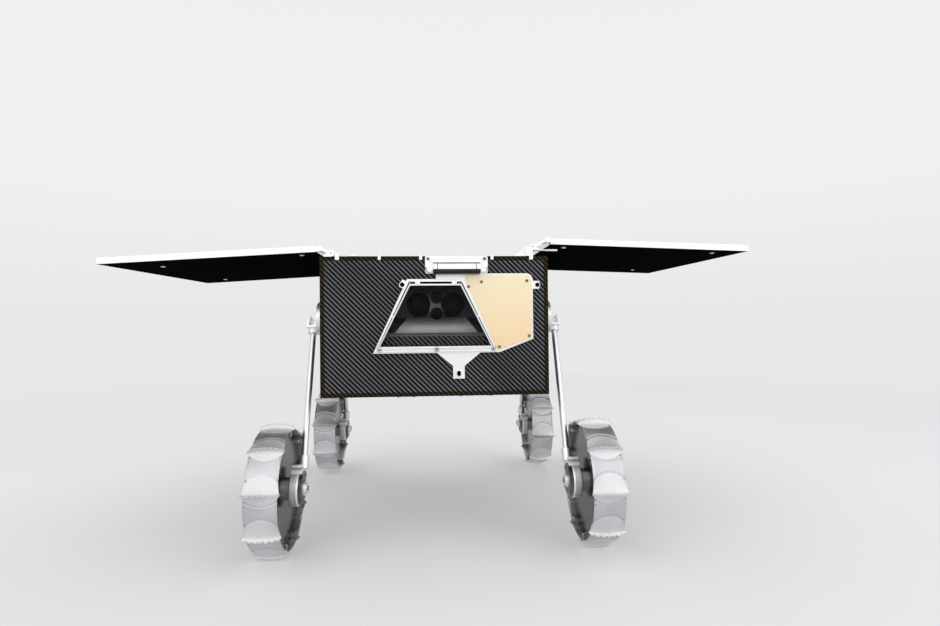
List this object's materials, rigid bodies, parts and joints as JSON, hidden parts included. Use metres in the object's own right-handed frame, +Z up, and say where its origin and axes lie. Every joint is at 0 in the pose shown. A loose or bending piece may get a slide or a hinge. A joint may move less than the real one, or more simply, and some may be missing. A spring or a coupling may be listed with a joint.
{
  "type": "planetary rover",
  "caption": "Small planetary rover: carbon-fibre body box with a camera window, fold-out solar wings and swinging legs that end in petal-rimmed metal wheels.",
  "frame": {"origin": "on the ground, below the middle of the body", "axes": "+Z up, the front faces -Y, +X is the right side as seen from the front"},
  "size_m": [1.0733, 0.7114, 0.499],
  "materials": {
    "carbon_fibre": "black carbon-fibre twill, brown tape along the panel edges",
    "black_anodised": "matt black anodised aluminium",
    "aluminium": "machined, lightly brushed aluminium",
    "steel": "ground steel",
    "sheet_metal": "hand-formed thin sheet with soft dents and a satin shine",
    "grey_sheet": "grey anodised sheet",
    "radiator_coating": "smooth peach-gold coated plate",
    "window_glass": "clear, slightly smoked window",
    "solar_cells": "dark blue solar cells under cover glass"
  },
  "bodies": {
    "chassis": {"front_panel": "carbon_fibre", "rear_panel": "carbon_fibre", "side_panels": "carbon_fibre", "bottom_panel": "carbon_fibre", "top_panel": "carbon_fibre", "battery_and_electronics": "black_anodised", "backing_plate": "aluminium", "window_frame": "aluminium", "window_glass": "window_glass", "radiator_plate": "radiator_coating", "camera_bay": "black_anodised", "cameras": "black_anodised", "release_latch": "aluminium", "release_roller": "steel", "edge_clips": "aluminium", "shoulder_bearings": "aluminium", "leg_rests": "aluminium", "hinge_brackets_left": "aluminium", "hinge_brackets_right": "aluminium"},
    "wing_left": {"wing_left_panel": "carbon_fibre", "wing_left_cells": "solar_cells", "wing_left_hinge_leaves": "aluminium"},
    "wing_right": {"wing_right_panel": "carbon_fibre", "wing_right_cells": "solar_cells", "wing_right_hinge_leaves": "aluminium"},
    "leg_front_left": {"leg_front_left_fork": "aluminium", "leg_front_left_tube": "aluminium", "leg_front_left_foot": "aluminium", "leg_front_left_motor": "aluminium"},
    "wheel_front_left": {"wheel_front_left_rim": "sheet_metal", "wheel_front_left_web": "grey_sheet"},
    "leg_front_right": {"leg_front_right_fork": "aluminium", "leg_front_right_tube": "aluminium", "leg_front_right_foot": "aluminium", "leg_front_right_motor": "aluminium"},
    "wheel_front_right": {"wheel_front_right_rim": "sheet_metal", "wheel_front_right_web": "grey_sheet"},
    "leg_rear_left": {"leg_rear_left_fork": "aluminium", "leg_rear_left_tube": "aluminium", "leg_rear_left_foot": "aluminium", "leg_rear_left_motor": "aluminium"},
    "wheel_rear_left": {"wheel_rear_left_rim": "sheet_metal", "wheel_rear_left_web": "grey_sheet"},
    "leg_rear_right": {"leg_rear_right_fork": "aluminium", "leg_rear_right_tube": "aluminium", "leg_rear_right_foot": "aluminium", "leg_rear_right_motor": "aluminium"},
    "wheel_rear_right": {"wheel_rear_right_rim": "sheet_metal", "wheel_rear_right_web": "grey_sheet"}
  },
  "joints": [
    {"name": "shoulder_front_left", "type": "hinge", "parent": "chassis", "child": "leg_front_left", "pos_m": [-0.185, -0.14, 0.3672], "axis": [-1, 0, 0], "range_deg": [-25.5, 66.5]},
    {"name": "wheel_front_left_spin", "type": "hinge", "parent": "leg_front_left", "child": "wheel_front_left", "pos_m": [-0.2521, -0.24054, 0.09838], "axis": [1, 0, 0], "continuous": true},
    {"name": "shoulder_front_right", "type": "hinge", "parent": "chassis", "child": "leg_front_right", "pos_m": [0.185, -0.14, 0.3672], "axis": [-1, 0, 0], "range_deg": [-27.5, 64.5]},
    {"name": "wheel_front_right_spin", "type": "hinge", "parent": "leg_front_right", "child": "wheel_front_right", "pos_m": [0.2521, -0.24987, 0.10206], "axis": [1, 0, 0], "continuous": true},
    {"name": "shoulder_rear_left", "type": "hinge", "parent": "chassis", "child": "leg_rear_left", "pos_m": [-0.185, 0.14, 0.3672], "axis": [1, 0, 0], "range_deg": [-27, 65]},
    {"name": "wheel_rear_left_spin", "type": "hinge", "parent": "leg_rear_left", "child": "wheel_rear_left", "pos_m": [-0.2521, 0.24736, 0.10103], "axis": [1, 0, 0], "continuous": true},
    {"name": "shoulder_rear_right", "type": "hinge", "parent": "chassis", "child": "leg_rear_right", "pos_m": [0.185, 0.14, 0.3672], "axis": [1, 0, 0], "range_deg": [-28.7, 63.3]},
    {"name": "wheel_rear_right_spin", "type": "hinge", "parent": "leg_rear_right", "child": "wheel_rear_right", "pos_m": [0.2521, 0.25558, 0.1045], "axis": [1, 0, 0], "continuous": true},
    {"name": "wing_left_fold", "type": "hinge", "parent": "chassis", "child": "wing_left", "pos_m": [-0.185, 0, 0.4798], "axis": [0, 1, 0], "range_deg": [0, 183.2]},
    {"name": "wing_right_fold", "type": "hinge", "parent": "chassis", "child": "wing_right", "pos_m": [0.185, 0, 0.4944], "axis": [0, -1, 0], "range_deg": [0, 182]}
  ]
}
